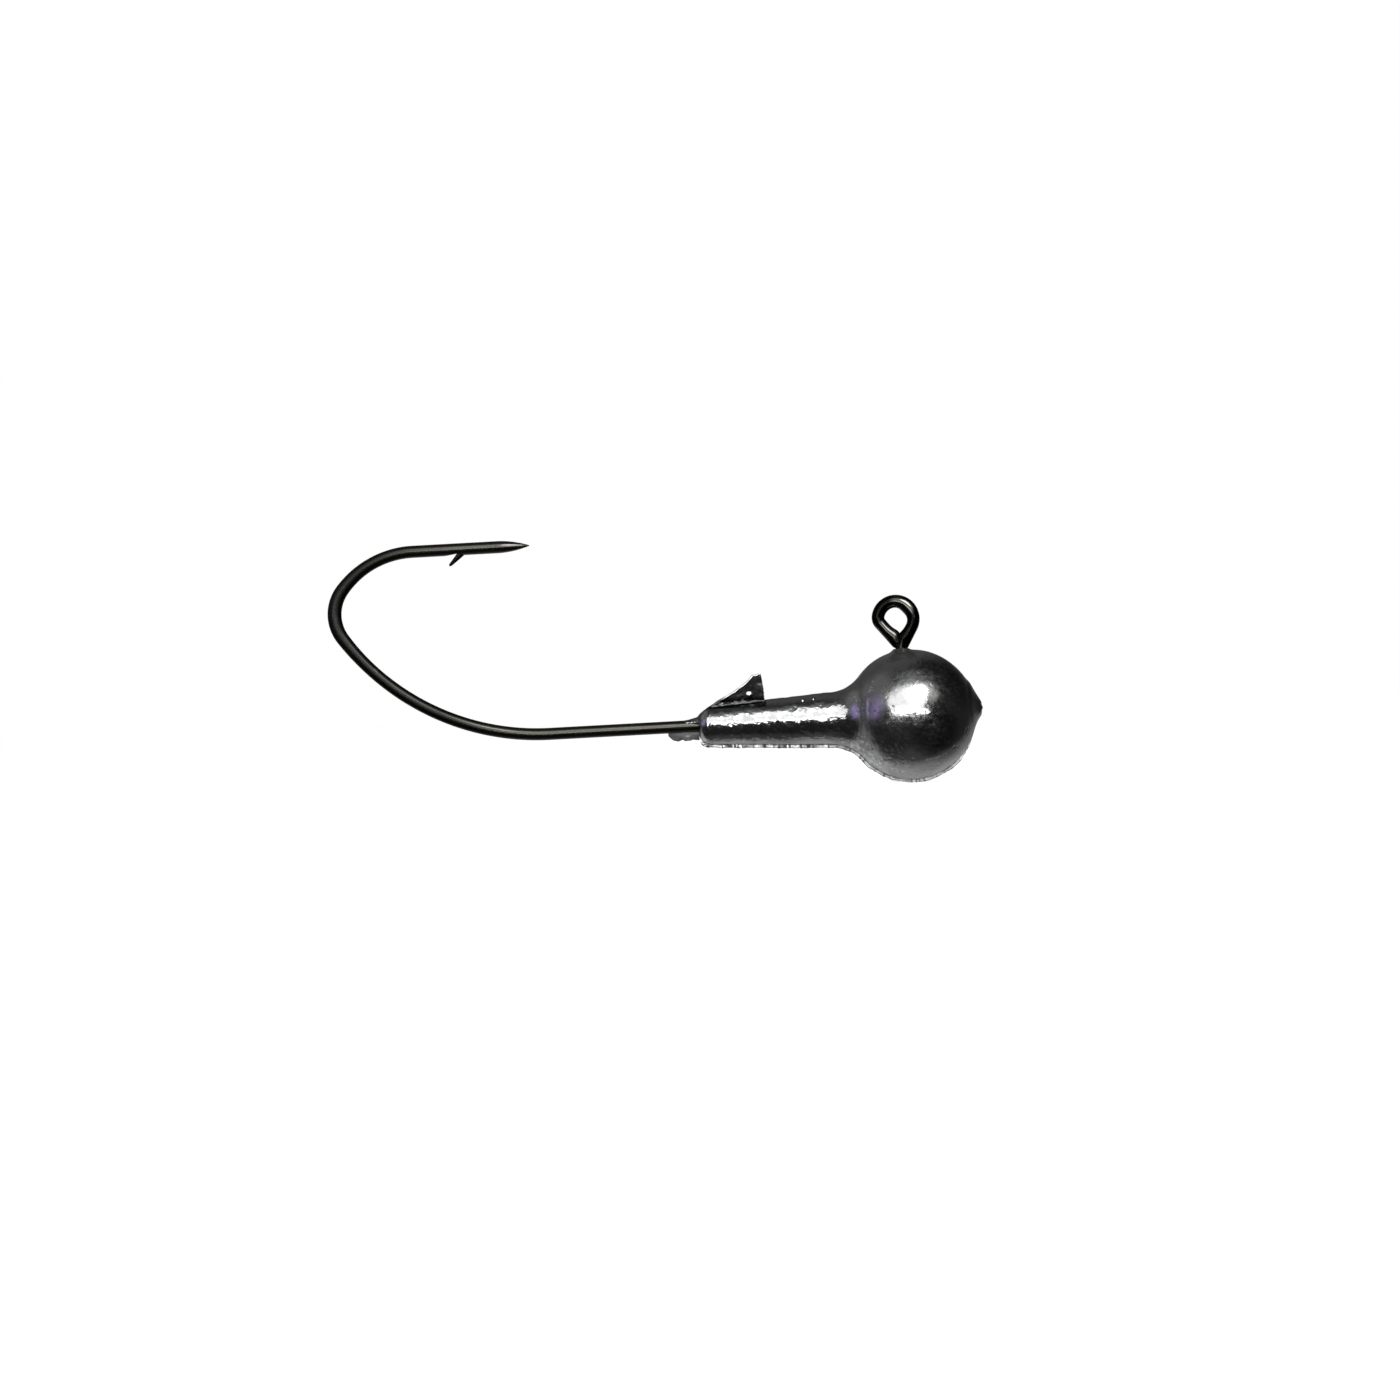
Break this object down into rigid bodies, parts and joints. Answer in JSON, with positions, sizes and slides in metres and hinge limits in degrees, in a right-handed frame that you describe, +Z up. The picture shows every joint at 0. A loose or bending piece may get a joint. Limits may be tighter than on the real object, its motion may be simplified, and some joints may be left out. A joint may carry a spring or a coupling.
{
  "type": "ball jig head",
  "caption": "Unpainted lead ball jig head cast on an upturned-eye wire hook, with a tapered bait collar, a wedge keeper and a barbed needle point.",
  "frame": {"origin": "middle of the line eye, in the hook's plane", "axes": "+X forward along the shank to the nose of the ball, +Z up to the line eye and the hook's point, Y across the hook's plane, which is the parting plane"},
  "size_m": [0.0498, 0.01, 0.0202],
  "materials": {
    "hook_wire": "black nickel over high-carbon steel, glossy",
    "cast_lead": "bright as-cast lead, uneven, half glossy and half frosted"
  },
  "bodies": {
    "root": {"hook_eye": "hook_wire", "hook_leg": "hook_wire", "hook_shank": "hook_wire", "bend_sweep": "hook_wire", "bend_heel": "hook_wire", "bend_throat": "hook_wire", "hook_point": "hook_wire", "hook_barb": "hook_wire", "ball_head": "cast_lead", "collar": "cast_lead", "bait_keeper": "cast_lead", "gate_stub": "cast_lead", "parting_flash": "cast_lead"}
  },
  "joints": []
}
